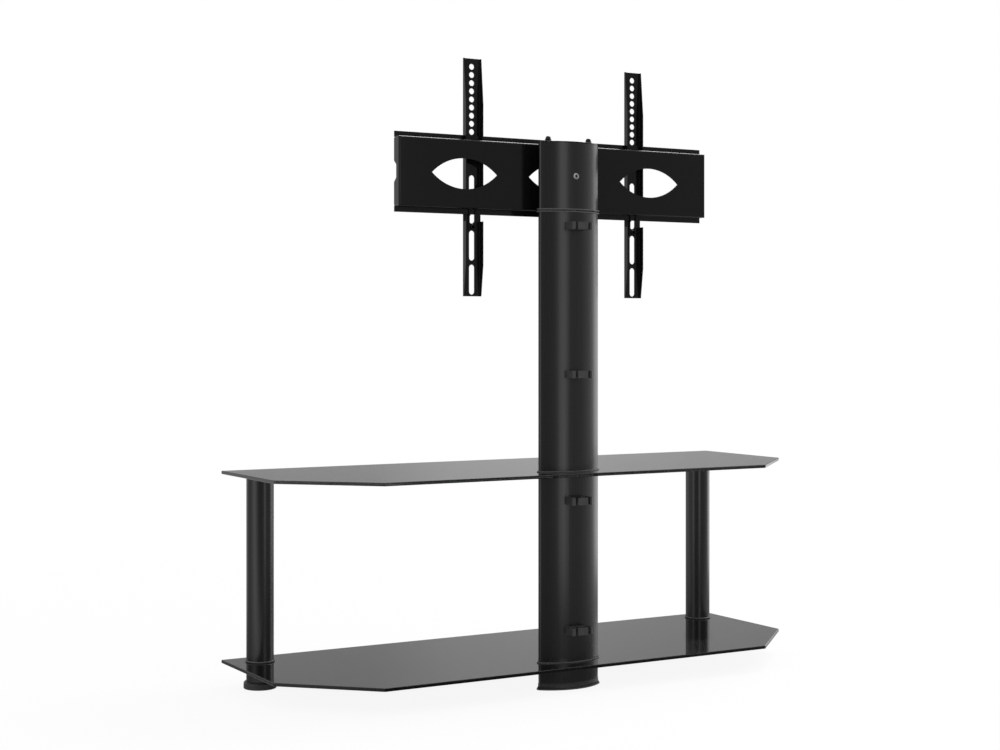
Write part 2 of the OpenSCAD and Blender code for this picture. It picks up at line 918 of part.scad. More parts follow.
module leg_tube(side) {
    color("dimgray") at_leg(side, lower_top + leg_ring_t)
        ring(leg_d / 2, leg_d / 2 - leg_wall, shelf_gap - leg_ring_t - disc_t);
}

module leg_left() {
    leg_tube(1);
}

module leg_right() {
    leg_tube(-1);
}

// Flat ring with a rounded rim that a leg stands on
module leg_ring(side) {
    r = leg_d / 2 + leg_ring_lip - leg_ring_t / 2;
    bore = stud_d / 2 + fit;
    color("black") at_leg(side, lower_top) rotate_extrude() {
        translate([bore, 0]) square([r - bore, leg_ring_t]);
        translate([r, leg_ring_t / 2]) intersection() {
            circle(leg_ring_t / 2);
            translate([0, -leg_ring_t]) square([leg_ring_t, 2 * leg_ring_t]);
        }
    }
}

module leg_ring_left() {
    leg_ring(1);
}

module leg_ring_right() {
    leg_ring(-1);
}

// Threaded plugs in both ends of a leg tube
module leg_plugs(side) {
    for (z = [lower_top + leg_ring_t, upper_z - disc_t - plug_len])
        color("silver") at_leg(side, z)
            ring(leg_d / 2 - leg_wall - plug_play, stud_d / 2 + fit, plug_len);
}

module leg_plugs_left() {
    leg_plugs(1);
}

module leg_plugs_right() {
    leg_plugs(-1);
}

// Studs that join neck, glass and leg, each clear of its foot's own stud
module leg_studs() {
    z = foot_stud_top + stud_gap;
    for (side = [-1, 1]) color("silver") at_leg(side, z)
        cylinder(r = stud_d / 2, h = lower_top + leg_ring_t + plug_len - z);
}

// Discs bonded under the upper shelf, each with a stud into a leg's top plug
module top_discs() {
    for (side = [-1, 1]) color("silver") at_leg(side, upper_z - disc_t) {
        cylinder(r = leg_d / 2 - disc_inset, h = disc_t);
        translate([0, 0, -plug_len]) cylinder(r = stud_d / 2, h = plug_len + disc_t);
    }
}

module neck_gaskets() {
    for (side = [-1, 1]) color("black") at_leg(side, lower_clear - gasket_t)
        ring(leg_d / 2, stud_d / 2 + fit, gasket_t);
}

module foot_neck(side) {
    color("dimgray") at_leg(side, foot_h)
        ring(leg_d / 2, leg_d / 2 - leg_wall, lower_clear - gasket_t - foot_h);
}

module foot_neck_left() {
    foot_neck(1);
}

module foot_neck_right() {
    foot_neck(-1);
}

module neck_plugs() {
    for (side = [-1, 1]) color("silver") at_leg(side, foot_h + neck_plug_gap)
        ring(leg_d / 2 - leg_wall - plug_play, stud_d / 2 + fit,
             lower_clear - gasket_t - foot_h - neck_plug_gap);
}

// Moulded foot with a rounded shoulder and a seat for its stud
module foot_pad(side) {
    r = foot_d / 2;
    color("black") at_leg(side, 0) difference() {
        rotate_extrude() {
            square([r, foot_h - foot_round]);
            square([r - foot_round, foot_h]);
            translate([r - foot_round, foot_h - foot_round]) intersection() {
                circle(foot_round);
                square(foot_round);
            }
        }
        translate([0, 0, foot_h - foot_stud_sink])
            cylinder(r = stud_d / 2 + fit, h = foot_stud_sink + cut);
    }
}

module foot_pad_left() {
    foot_pad(1);
}

module foot_pad_right() {
    foot_pad(-1);
}

module foot_stud(side) {
    color("silver") at_leg(side, foot_h - foot_stud_sink)
        cylinder(r = stud_d / 2, h = foot_stud_len);
}

module foot_stud_left() {
    foot_stud(1);
}

module foot_stud_right() {
    foot_stud(-1);
}

// Round-cornered rectangle from corner a to corner b
module soft_box(a, b, r) {
    for (x = [a[0] + r, b[0] - r], y = [a[1] + r, b[1] - r]) translate([x, y]) circle(r);
    translate([a[0] + r, a[1]]) square([b[0] - a[0] - 2 * r, b[1] - a[1]]);
    translate([a[0], a[1] + r]) square([b[0] - a[0], b[1] - a[1] - 2 * r]);
}

// Cable clip on the back of the column: two hooks and a tongue between them
module cable_clip(z) {
    half = clip_w / 2;
    inside = clip_screw_y;
    out = column_d / 2 + clip_space + clip_wall;
    color("black") difference() {
        on_column(z - clip_h / 2) linear_extrude(height = clip_h) difference() {
            union() {
                difference() {
                    soft_box([-half, 0], [half, out], clip_wall);
                    soft_box([clip_wall - half, inside], [half - clip_wall, out - clip_wall],
                             clip_wall / 2);
                }
                translate([-clip_wall, 0]) square([2 * clip_wall, out - clip_wall / 2]);
            }
            for (m = [0, 1]) mirror([m, 0]) translate([clip_w * clip_tongue_share, inside + clip_wall])
                square([clip_w * clip_mouth_share, out]);
            column_outline(core_play / 2);
        }
        at_clip_screws(z) {
            along_y(clip_screw_d / 2 + fit, inside - clip_screw_len, inside + cut);
            along_y(clip_screw_head_r + fit, inside - clip_screw_head_h, inside + cut);
        }
    }
}

module clip_top() {
    cable_clip(clip_zs[0]);
}

module clip_upper() {
    cable_clip(clip_zs[1]);
}

module clip_lower() {
    cable_clip(clip_zs[2]);
}

module clip_bottom() {
    cable_clip(clip_zs[3]);
}

module clip_screws() {
    for (z = clip_zs) color("gray") at_clip_screws(z) {
        along_y(clip_screw_d / 2, clip_screw_y - clip_screw_len, clip_screw_y);
        along_y(clip_screw_head_r, clip_screw_y - clip_screw_head_h, clip_screw_y);
    }
}

lower_shelf();
upper_shelf();
base_casting();
column_foot();
column_lower();
column_upper();
foot_gasket();
lower_ring();
mid_gasket();
upper_ring();
tie_rods();
tie_nuts();
tie_washers();
swivel_base();
stop_pin();
pivot_bolt();
friction_washer();
pivot_washer();
pivot_spring();
pivot_nut();
leg_left();
leg_right();
leg_ring_left();
leg_ring_right();
leg_plugs_left();
leg_plugs_right();
leg_studs();
top_discs();
neck_gaskets();
foot_neck_left();
foot_neck_right();
neck_plugs();
foot_pad_left();
foot_pad_right();
foot_stud_left();
foot_stud_right();
clip_top();
clip_upper();
clip_lower();
clip_bottom();
clip_screws();
swivel_plate();
column_head();
head_cap();
head_studs();
cap_nuts();
head_core();
back_bolt();
saddle_blocks();
wall_plate();
plate_bolts();
plate_washers();
arm_left();
arm_right();
lock_fork_left();
lock_fork_right();
lock_screw_left();
lock_screw_right();
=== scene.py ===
# %% [markdown]
# # Dressing a television stand
# The real object is a floor stand: two tinted glass shelves, an extruded aluminium column, two round
# legs and a folded steel plate that turns on top and carries a screen. Its construction model is
# finished and is loaded here as a fixed frame. This lesson adds what that model leaves out: eased
# edges, fasteners with real heads, the finish of every surface, and a small photographic studio.
# %% Load the construction model
import json
import math

import bmesh
import bpy
from mathutils import Matrix, Vector

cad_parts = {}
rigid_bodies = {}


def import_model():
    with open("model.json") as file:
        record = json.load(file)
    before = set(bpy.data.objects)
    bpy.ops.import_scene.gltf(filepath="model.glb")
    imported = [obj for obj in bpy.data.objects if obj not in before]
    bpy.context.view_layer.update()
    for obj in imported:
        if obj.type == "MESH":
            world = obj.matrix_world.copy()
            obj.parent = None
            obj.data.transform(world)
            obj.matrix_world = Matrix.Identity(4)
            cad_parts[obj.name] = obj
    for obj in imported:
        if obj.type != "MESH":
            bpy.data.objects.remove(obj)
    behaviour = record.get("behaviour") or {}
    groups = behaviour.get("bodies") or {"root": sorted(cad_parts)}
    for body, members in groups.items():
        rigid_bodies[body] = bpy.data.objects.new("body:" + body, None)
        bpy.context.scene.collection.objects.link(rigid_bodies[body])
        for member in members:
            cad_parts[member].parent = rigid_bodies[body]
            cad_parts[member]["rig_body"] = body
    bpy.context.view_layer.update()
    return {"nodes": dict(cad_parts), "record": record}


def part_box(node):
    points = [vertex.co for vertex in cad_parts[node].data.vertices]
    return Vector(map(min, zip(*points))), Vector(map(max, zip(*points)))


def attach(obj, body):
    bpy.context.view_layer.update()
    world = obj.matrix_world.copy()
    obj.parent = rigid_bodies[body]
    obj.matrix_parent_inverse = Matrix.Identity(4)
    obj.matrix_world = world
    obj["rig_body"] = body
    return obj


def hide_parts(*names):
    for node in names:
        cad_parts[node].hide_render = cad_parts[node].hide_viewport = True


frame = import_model()

# %% [markdown]
# ## Units
# Blender works in metres, but a product is drawn in millimetres. One name for a millimetre lets every
# size below be written as a maker would say it.
# %% Millimetre
MM = 0.001

# %% [markdown]
# ## Camera
# The photograph was taken from behind the stand and a little to its left, with a level camera at the
# height of a seated person. A level camera keeps upright edges parallel. The picture is framed with
# lens shift instead of a tilt, as a product photographer does with a shift lens.
# %% Camera at the photograph's viewing angle
CAMERA_PLACE = (1.7180, 2.8488, 0.6486)
CAMERA_HEADING = math.radians(149.97)
LENS_MM = 63.187
SHIFT_UP = -0.0426

camera_data = bpy.data.cameras.new("product_camera")
camera_data.lens = LENS_MM
camera_data.shift_y = SHIFT_UP
camera = bpy.data.objects.new("product_camera", camera_data)
camera.location = CAMERA_PLACE
camera.rotation_euler = (math.radians(90), 0, CAMERA_HEADING)
bpy.context.scene.collection.objects.link(camera)
bpy.context.scene.camera = camera
bpy.context.scene.view_settings.view_transform = "Standard"
print(f"camera {math.hypot(*CAMERA_PLACE[:2]):.2f} m from the column")

# %% [markdown]
# ## Colours
# Colours are written as the hex values that a screen shows. A renderer counts light in linear amounts,
# so one function turns each value before it reaches a shader.
# %% Screen colour to linear light
def linear(hex_colour):
    """Linear RGBA of a screen colour such as #2b2f31."""
    shares = [int(hex_colour[n : n + 2], 16) / 255 for n in (1, 3, 5)]
    return [s / 12.92 if s <= 0.04045 else ((s + 0.055) / 1.055) ** 2.4 for s in shares] + [1.0]


# %% [markdown]
# ## Nodes
# Every finish below is a small tree of nodes. One function adds any node, sets its options and feeds
# its sockets. An input is either a plain value or the output of another node, which is then linked.
# Most patterns are noise, whose values seldom leave the middle of their range, so two named values say
# where they lie.
# %% One function for every node
NOISE_LOW = 0.3
NOISE_HIGH = 0.7


def add_node(tree, kind, inputs=None, **settings):
    """Add a node, set its options and give each named or numbered input a value or a link."""
    node = tree.nodes.new(kind)
    for name, value in settings.items():
        setattr(node, name, value)
    for name, value in (inputs or {}).items():
        if isinstance(value, bpy.types.NodeSocket):
            tree.links.new(value, node.inputs[name])
        else:
            node.inputs[name].default_value = value
    return node


def new_material(name, **inputs):
    """A material with a Principled shader, whose plain values come as words such as Base_Color."""
    material = bpy.data.materials.new(name)
    material.use_nodes = True
    tree = material.node_tree
    shader = tree.nodes["Principled BSDF"]
    for socket, value in inputs.items():
        shader.inputs[socket.replace("_", " ")].default_value = value
    place = add_node(tree, "ShaderNodeTexCoord").outputs["Object"]
    return material, tree, shader, place


def cover(tree, shader, rough, skin):
    """Give a shader the pattern of its roughness and the relief of its skin."""
    tree.links.new(rough.outputs[0], shader.inputs["Roughness"])
    tree.links.new(skin.outputs["Normal"], shader.inputs["Normal"])


# %% [markdown]
# ## Black anodised aluminium
# The column and legs are pushed hot through a steel die, then etched, dyed black in an acid bath and
# sealed. The result is a satin metal, not a paint: it keeps a metal's tinted mirror, and the die leaves
# faint lines along the length. The lines come from noise that is stretched along Z, fine ones for the
# die's scratches and broad ones where the die had worn. They change the roughness more than the height.
# %% Black anodised aluminium
DIE_LINE = 1.2 * MM
DIE_BAND = 9 * MM
DIE_LENGTH = 600 * MM
DIE_LINE_HEIGHT = 0.05 * MM
SMOOTH_BAND = 0.245
WORN_BAND = 0.29
LINE_SPREAD = 0.012


def black_anodised_aluminium():
    material, tree, shader, place = new_material(
        "black_anodised_aluminium", Base_Color=linear("#525252"), Metallic=1.0
    )
    lines = []
    for width in (DIE_LINE, DIE_BAND):
        stretched = add_node(
            tree,
            "ShaderNodeMapping",
            {"Vector": place, "Scale": (1 / width, 1 / width, 1 / DIE_LENGTH)},
        )
        noise = {"Vector": stretched.outputs[0], "Scale": 1.0, "Detail": 2.0}
        lines.append(add_node(tree, "ShaderNodeTexNoise", noise))
    worn = add_node(
        tree,
        "ShaderNodeMapRange",
        {
            "Value": lines[1].outputs["Fac"],
            "From Min": NOISE_LOW,
            "From Max": NOISE_HIGH,
            "To Min": SMOOTH_BAND,
            "To Max": WORN_BAND,
        },
    )
    scratched = add_node(
        tree,
        "ShaderNodeMapRange",
        {
            "Value": lines[0].outputs["Fac"],
            "From Min": NOISE_LOW,
            "From Max": NOISE_HIGH,
            "To Min": -LINE_SPREAD,
            "To Max": LINE_SPREAD,
        },
    )
    rough = add_node(
        tree, "ShaderNodeMath", {0: worn.outputs[0], 1: scratched.outputs[0]}, operation="ADD"
    )
    ridges = add_node(
        tree,
        "ShaderNodeBump",
        {"Height": lines[0].outputs["Fac"], "Strength": 0.07, "Distance": DIE_LINE_HEIGHT},
    )
    cover(tree, shader, rough, ridges)
    return material


# %% [markdown]
# ## Gloss black powder coat
# The folded steel is sprayed with a dry charged powder and baked until it flows. It never flows quite
# flat: a gloss coat keeps a soft orange peel of two to three millimetres, which makes reflections
# tremble. The coat is a plastic, so it has no metallic share, and its black comes from carbon that
# reflects under one percent.
# %% Gloss black powder coat
ORANGE_PEEL = 2.4 * MM
PEEL_HEIGHT = 0.06 * MM
BRIGHT_COAT = 0.1
DULL_COAT = 0.16


def gloss_powder_coat():
    material, tree, shader, place = new_material(
        "gloss_powder_coat", Base_Color=linear("#0b0b0c"), IOR=1.47
    )
    peel = add_node(
        tree, "ShaderNodeTexNoise", {"Vector": place, "Scale": 1 / ORANGE_PEEL, "Detail": 1.0}
    )
    skin = add_node(
        tree,
        "ShaderNodeBump",
        {"Height": peel.outputs["Fac"], "Strength": 0.1, "Distance": PEEL_HEIGHT},
    )
    rough = add_node(
        tree,
        "ShaderNodeMapRange",
        {"Value": peel.outputs["Fac"], "To Min": BRIGHT_COAT, "To Max": DULL_COAT},
    )
    cover(tree, shader, rough, skin)
    return material


# %% [markdown]
# ## Smoked tempered glass
# The shelves are float glass coloured nearly black in the melt and hardened on rollers. Real glass is
# both a mirror and a filter, so the shader transmits light and its colour takes most of it away. The
# rollers leave a wave of a hand's width that bends long reflections a little, and handling leaves a
# faint uneven haze.
# %% Smoked tempered glass
ROLLER_WAVE = 180 * MM
ROLLER_LINE = 900 * MM
WAVE_HEIGHT = 0.3 * MM
HAZE = 35 * MM
WIPED_GLASS = 0.01
HAZY_GLASS = 0.03


def smoked_glass():
    material, tree, shader, place = new_material(
        "smoked_glass", Base_Color=linear("#2b2d2d"), IOR=1.52, Transmission_Weight=1.0
    )
    along = add_node(
        tree, "ShaderNodeMapping", {"Vector": place, "Scale": (1 / ROLLER_WAVE, 1 / ROLLER_LINE, 1.0)}
    )
    wave = add_node(
        tree, "ShaderNodeTexNoise", {"Vector": along.outputs[0], "Scale": 1.0, "Detail": 0.0}
    )
    haze = add_node(tree, "ShaderNodeTexNoise", {"Vector": place, "Scale": 1 / HAZE, "Detail": 3.0})
    rough = add_node(
        tree,
        "ShaderNodeMapRange",
        {
            "Value": haze.outputs["Fac"],
            "From Min": NOISE_LOW,
            "From Max": NOISE_HIGH,
            "To Min": WIPED_GLASS,
            "To Max": HAZY_GLASS,
        },
    )
    bent = add_node(
        tree, "ShaderNodeBump", {"Height": wave.outputs["Fac"], "Strength": 0.1, "Distance": WAVE_HEIGHT}
    )
    cover(tree, shader, rough, bent)
    return material


# %% [markdown]
# ## Grained, cast and moulded finishes
# Rubber rings, moulded clips, die-cast plugs and plated bolts differ mostly in colour, in how metallic
# they are and in the size of their grain. They share one function: a noise of a stated grain size lifts
# the surface and varies the roughness. Grain that is too fine to show is drawn a little coarser than it
# is.
# %% A finish with an even grain
GRAIN_SPREAD = 0.15


def grained_finish(name, colour, grain, height, roughness, metallic=0.0):
    """A finish whose grain of a given size is a given height and varies the roughness a little."""
    material, tree, shader, place = new_material(name, Base_Color=linear(colour), Metallic=metallic)
    texture = add_node(tree, "ShaderNodeTexNoise", {"Vector": place, "Scale": 1 / grain, "Detail": 3.0})
    rough = add_node(
        tree,
        "ShaderNodeMapRange",
        {
            "Value": texture.outputs["Fac"],
            "To Min": roughness * (1 - GRAIN_SPREAD),
            "To Max": roughness * (1 + GRAIN_SPREAD),
        },
    )
    skin = add_node(
        tree,
        "ShaderNodeBump",
        {"Height": texture.outputs["Fac"], "Strength": 0.3, "Distance": height},
    )
    cover(tree, shader, rough, skin)
    return material


# %% [markdown]
# ## A finish for every part
# The model's record gives each part a material slot, and one table turns slots into finishes. A grained
# finish is written as its name, colour, grain size, grain height, roughness and, for metal, how
# metallic it is. The base under the column is the one part outside the table: it is cast, but it shows,
# so it has its own satin coat.
# %% Every finish by the slot that the record names
FINISHES = {
    "glass": smoked_glass(),
    "anodised_aluminium": black_anodised_aluminium(),
    "black_paint": gloss_powder_coat(),
    "black_rubber": grained_finish("moulded_black_rubber", "#484848", 0.8 * MM, 0.03 * MM, 0.42),
    "black_plastic": grained_finish("moulded_black_nylon", "#363636", 0.6 * MM, 0.03 * MM, 0.38),
    "white_plastic": grained_finish("turned_white_acetal", "#e4e2da", 1.0 * MM, 0.01 * MM, 0.35),
    "zinc_steel": grained_finish("bright_zinc_plate", "#c3c3c0", 1.5 * MM, 0.01 * MM, 0.34, 1.0),
    "black_steel": grained_finish("black_oxide_steel", "#363638", 1.0 * MM, 0.01 * MM, 0.24, 1.0),
    "grey_steel": grained_finish("dull_grey_phosphate", "#4b4a4a", 0.8 * MM, 0.02 * MM, 0.5),
    "cast_aluminium": grained_finish("die_cast_aluminium", "#8d8f91", 1.2 * MM, 0.05 * MM, 0.5, 1.0),
}
slot_of = {row["node"]: row["material_slot"] for row in frame["record"]["subparts"]}
finish_of = {node: FINISHES[slot] for node, slot in slot_of.items()}
finish_of["base_casting"] = grained_finish("satin_powder_coat", "#2c2c2d", 1.2 * MM, 0.03 * MM, 0.4)
for node, finish in finish_of.items():
    mesh = frame["nodes"][node].data
    mesh.materials.clear()
    mesh.materials.append(finish)
print(f"{len(set(finish_of.values()))} finishes on {len(finish_of)} parts")

# %% [markdown]
# ## Placing a new piece
# A new piece stands for the construction part of the same place: it takes that part's finish, rides on
# the same body, and the plain part is hidden. Its object stays at the origin with its place in its
# mesh.
# %% Put a piece in the frame
SMOOTH_BELOW = math.radians(34)


def object_of(bm, name):
    """Turn a bmesh into an object at the origin and link it to the scene."""
    mesh = bpy.data.meshes.new(name)
    bm.to_mesh(mesh)
    bm.free()
    made = bpy.data.objects.new(name, mesh)
    bpy.context.scene.collection.objects.link(made)
    return made


def place_piece(bm, name, node):
    """Turn a bmesh into a piece that replaces a construction node."""
    for face in bm.faces:
        face.smooth = True
    piece = object_of(bm, name)
    piece.data.set_sharp_from_angle(angle=SMOOTH_BELOW)
    piece.data.materials.append(finish_of[node])
    evened = piece.modifiers.new("flat_faces_stay_flat", "WEIGHTED_NORMAL")
    evened.keep_sharp = True
    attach(piece, frame["nodes"][node]["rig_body"])
    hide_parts(node)
    return piece


# %% [markdown]
# ## Eased edges
# No made thing has perfectly sharp edges. Folded steel is tumbled after punching, a moulded ring has a
# small radius from its tool, and paint pulls back from corners and rounds them. Such an edge catches a
# thin line of light. The construction part is copied, its loose triangles are merged into clean faces,
# and each corner gets a rounded bevel of the width that its process leaves.
# %% Ease the corners of a construction part
WELD = 0.001 * MM
FLAT = math.radians(0.6)
CORNER = math.radians(32)


def clean_copy(node):
    """A copy of a construction node whose loose triangles are merged into clean faces."""
    bm = bmesh.new()
    bm.from_mesh(frame["nodes"][node].data)
    bmesh.ops.remove_doubles(bm, verts=bm.verts, dist=WELD)
    bmesh.ops.dissolve_limit(bm, angle_limit=FLAT, verts=bm.verts, edges=bm.edges)
    return bm


def eased(bm, node, width, segments=3):
    """Round every corner of a clean copy by the given width and put it in its node's place."""
    corners = [edge for edge in bm.edges if edge.calc_face_angle(0.0) > CORNER]
    bmesh.ops.bevel(
        bm,
        geom=corners,
        affect="EDGES",
        offset=width,
        segments=segments,
        profile=0.5,
        material=-1,
        clamp_overlap=True,
    )
    open_edges = sum(len(edge.link_faces) != 2 for edge in bm.edges)
    print(f"{node}: {len(corners)} corners eased, {len(bm.faces)} faces, {open_edges} open edges")
    return place_piece(bm, f"{node}_eased", node)


EASED_WIDTHS = {
    "arm_left": 0.35 * MM,
    "arm_right": 0.35 * MM,
    "wall_plate": 0.35 * MM,
    "head_cap": 0.6 * MM,
    "upper_ring": 0.4 * MM,
    "lower_ring": 0.4 * MM,
    "base_casting": 0.4 * MM,
    "saddle_blocks": 0.8 * MM,
    "clip_top": 0.7 * MM,
    "clip_upper": 0.7 * MM,
    "clip_lower": 0.7 * MM,
    "clip_bottom": 0.7 * MM,
    "lock_fork_left": 0.4 * MM,
    "lock_fork_right": 0.4 * MM,
    "plate_bolts": 0.3 * MM,
    "plate_washers": 0.2 * MM,
}
for node, width in EASED_WIDTHS.items():
    eased(clean_copy(node), node, width)

# %% [markdown]
# ## Lips of the swivel
# The two plates of the swivel show as thin lips with a dark groove between them, because each is milled
# back on the side of the gap. The outer rim is found by walking along its sharp edges. A bevel of two
# segments gives the rim a middle row of points, and pushing that row and the inner one back makes a
# square step of the bevel.
# %% Mill a step into each rim
LIP_STEP = 1.1 * MM
LIP_DEPTH = 3 * MM
LIP_EASE = 0.35 * MM


def rim_edges(bm, height):
    """Sharp edges round the outside of the flat face at a height."""
    level = [vert for vert in bm.verts if abs(vert.co.z - height) < WELD]
    waiting = [max(level, key=lambda vert: vert.co.x)]
    rim = set()
    while waiting:
        vert = waiting.pop()
        for edge in vert.link_edges:
            other = edge.other_vert(vert)
            is_level = abs(other.co.z - height) < WELD
            if is_level and edge not in rim and edge.calc_face_angle(0.0) > CORNER:
                rim.add(edge)
                waiting.append(other)
    return list(rim)


def mill_step(bm, height):
    """Cut a square step into the rim of the flat face at a height."""
    made = bmesh.ops.bevel(
        bm,
        geom=rim_edges(bm, height),
        affect="EDGES",
        offset=LIP_STEP,
        segments=2,
        profile=0.5,
        material=-1,
    )
    middle_row = [vert for vert in made["verts"] if WELD < abs(vert.co.z - height) < LIP_STEP - WELD]
    for vert in middle_row:
        ends = [edge.other_vert(vert) for edge in vert.link_edges]
        inner = min(ends, key=lambda end: abs(end.co.z - height))
        outer = max(ends, key=lambda end: abs(end.co.z - height))
        back = (inner.co - outer.co).xy.normalized() * LIP_DEPTH
        inner.co.xy = outer.co.xy + back
        vert.co = (*inner.co.xy, outer.co.z)
    print(f"step of {len(middle_row)} points at {height / MM:.1f} mm")


for node, gap_side in (("swivel_base", 1), ("swivel_plate", 0)):
    bm = clean_copy(node)
    mill_step(bm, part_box(node)[gap_side].z)
    eased(bm, node, LIP_EASE)

# %% [markdown]
# ## Stacked rings
# Screws, domed nuts and feet are round or six-sided bodies that change along one axis. Each change is a
# ring, and neighbouring rings are bridged. A six-sided ring is a hexagon whose sides are subdivided
# until it has as many points as a round one, so that a socket or a nut bridges cleanly to a circle.
# %% Bridge a stack of rings
ROUND_SIDES = 48
HEX = 6


def ring(bm, radius, height, sides):
    """A ring of ROUND_SIDES points about Z, round or six-sided."""
    made = bmesh.ops.create_circle(
        bm, segments=sides, radius=radius, matrix=Matrix.Translation((0, 0, height))
    )
    edges = list({edge for vert in made["verts"] for edge in vert.link_edges})
    if sides < ROUND_SIDES:
        cut = bmesh.ops.subdivide_edges(bm, edges=edges, cuts=ROUND_SIDES // sides - 1)
        edges = [item for item in cut["geom"] if isinstance(item, bmesh.types.BMEdge)]
    return edges


def stack_rings(bm, levels):
    """A closed solid through rings given as (radius, height, sides)."""
    rings = [ring(bm, *level) for level in levels]
    for lower, upper in zip(rings, rings[1:]):
        bmesh.ops.bridge_loops(bm, edges=lower + upper)
    for end in (rings[0], rings[-1]):
        bmesh.ops.edgeloop_fill(bm, edges=end)
    bmesh.ops.recalc_face_normals(bm, faces=bm.faces)


def copies_at(bm, places, turn=Matrix.Identity(4)):
    """Turn the shape in bm, then keep one copy of it at each place."""
    bmesh.ops.transform(bm, matrix=turn, verts=bm.verts)
    source = list(bm.verts) + list(bm.edges) + list(bm.faces)
    for place in places[1:]:
        made = bmesh.ops.duplicate(bm, geom=source)["geom"]
        verts = [item for item in made if isinstance(item, bmesh.types.BMVert)]
        bmesh.ops.translate(bm, vec=place, verts=verts)
    first = [item for item in source if isinstance(item, bmesh.types.BMVert)]
    bmesh.ops.translate(bm, vec=places[0], verts=first)


# %% [markdown]
# ## Where each fastener sits
# A group of like fasteners shares one construction node. Its separate solids are found by walking from
# vertex to vertex over the merged mesh, and the middle and size of each one tell where its new head
# goes.
# %% Boxes of the separate solids in a node
def solid_boxes(node):
    """Lowest and highest corner of each separate solid in a construction node."""
    bm = bmesh.new()
    bm.from_mesh(frame["nodes"][node].data)
    bmesh.ops.remove_doubles(bm, verts=bm.verts, dist=WELD)
    waiting = set(bm.verts)
    boxes = []
    while waiting:
        reached = {waiting.pop()}
        to_visit = list(reached)
        while to_visit:
            vert = to_visit.pop()
            for edge in vert.link_edges:
                other = edge.other_vert(vert)
                if other not in reached:
                    reached.add(other)
                    to_visit.append(other)
        waiting -= reached
        low = Vector(min(vert.co[axis] for vert in reached) for axis in range(3))
        high = Vector(max(vert.co[axis] for vert in reached) for axis in range(3))
        boxes.append((low, high))
    bm.free()
    return sorted(boxes, key=lambda box: tuple(box[0]))


# %% [markdown]
# ## Cap nuts
# Two domed nuts close the studs on top of the head. An acorn nut is forged from hexagon bar: the dome
# is turned down from the hexagon, which leaves a sloping shoulder with six curved corners.
# %% Cap nuts
SHOULDER = 0.55 * MM
DOME_INSET = 0.2 * MM
DOME_END = math.radians(86)
DOME_STEPS = 6
HEX_SHARE = 0.45
BORE_SHARE = 0.29


def cap_nut_levels(flats, height):
    """Rings of an acorn nut from its seat to the small flat on top of its dome."""
    hex_height = height * HEX_SHARE
    corner = flats / math.sqrt(3)
    dome = flats / 2 - DOME_INSET
    levels = [(flats * BORE_SHARE, 0, ROUND_SIDES), (flats / 2, 0, ROUND_SIDES)]
    levels += [(corner, SHOULDER / 2, HEX), (corner, hex_height - SHOULDER, HEX)]
    levels.append((flats / 2, hex_height, ROUND_SIDES))
    base = max(height - dome, hex_height + SHOULDER)
    levels.append((dome, hex_height + SHOULDER / 2, ROUND_SIDES))
    for step in range(DOME_STEPS + 1):
        angle = DOME_END * step / DOME_STEPS
        levels.append((dome * math.cos(angle), base + (height - base) * math.sin(angle), ROUND_SIDES))
    return levels


nut_boxes = solid_boxes("cap_nuts")
nut_low, nut_high = nut_boxes[0]
nut_width = min(nut_high.x - nut_low.x, nut_high.y - nut_low.y)
nut_height = nut_high.z - nut_low.z
bm = bmesh.new()
stack_rings(bm, cap_nut_levels(nut_width, nut_height))
nut_places = [((low + high) / 2).xy.to_3d() + Vector((0, 0, low.z)) for low, high in nut_boxes]
copies_at(bm, nut_places)
place_piece(bm, "domed_cap_nuts", "cap_nuts")
print(f"cap nuts {nut_width / MM:.1f} mm over the flats, {nut_height / MM:.1f} mm high")


# %% [markdown]
# ## Socket head screws
# The bolt in the back of the head, the clip screws and the lock screws all lie along Y with a hexagon
# socket in a round head. A button head is domed down to a thin rim, and the socket is a hexagonal blind
# hole that goes on into the shank. One function makes them, with the head towards +Y.
# %% Screws with a hexagon socket
RIM_STEPS = 4
TIP_SHARE = 0.8
RISE_SHARE = 0.8
MOUTH_SHARE = 1.12
LEAD_SHARE = 0.1
SOCKET_FLOOR_SHARE = 0.97
TOWARDS_Y = Matrix.Rotation(math.radians(-90), 4, "X")


def socket_screw(node, name, head_h, shank_share, socket_share, dome_share, socket_depth):
    """Replace the screws of a node. The shares are parts of the head's radius."""
    boxes = solid_boxes(node)
    low, high = boxes[0]
    length = high.y - low.y
    head_r = (high.z - low.z) / 2
    shank = head_r * shank_share
    socket = head_r * socket_share
    dome = head_r * dome_share
    rise = head_h * RISE_SHARE
    levels = [(shank * TIP_SHARE, 0, ROUND_SIDES), (shank, shank * (1 - TIP_SHARE), ROUND_SIDES)]
    levels += [(shank, length - head_h, ROUND_SIDES), (head_r, length - head_h, ROUND_SIDES)]
    for step in range(RIM_STEPS + 1):
        angle = math.radians(90) * step / RIM_STEPS
        across = head_r - dome + dome * math.cos(angle)
        levels.append((across, length - rise + rise * math.sin(angle), ROUND_SIDES))
    levels += [(socket * MOUTH_SHARE, length, ROUND_SIDES), (socket, length - head_h * LEAD_SHARE, HEX)]
    levels.append((socket * SOCKET_FLOOR_SHARE, length - socket_depth, HEX))
    bm = bmesh.new()
    stack_rings(bm, levels)
    places = [Vector(((a.x + b.x) / 2, a.y, (a.z + b.z) / 2)) for a, b in boxes]
    copies_at(bm, places, TOWARDS_Y)
    print(f"{name}: {len(places)} of {2 * head_r / MM:.1f} mm head, {length / MM:.1f} mm long")
    return place_piece(bm, name, node)


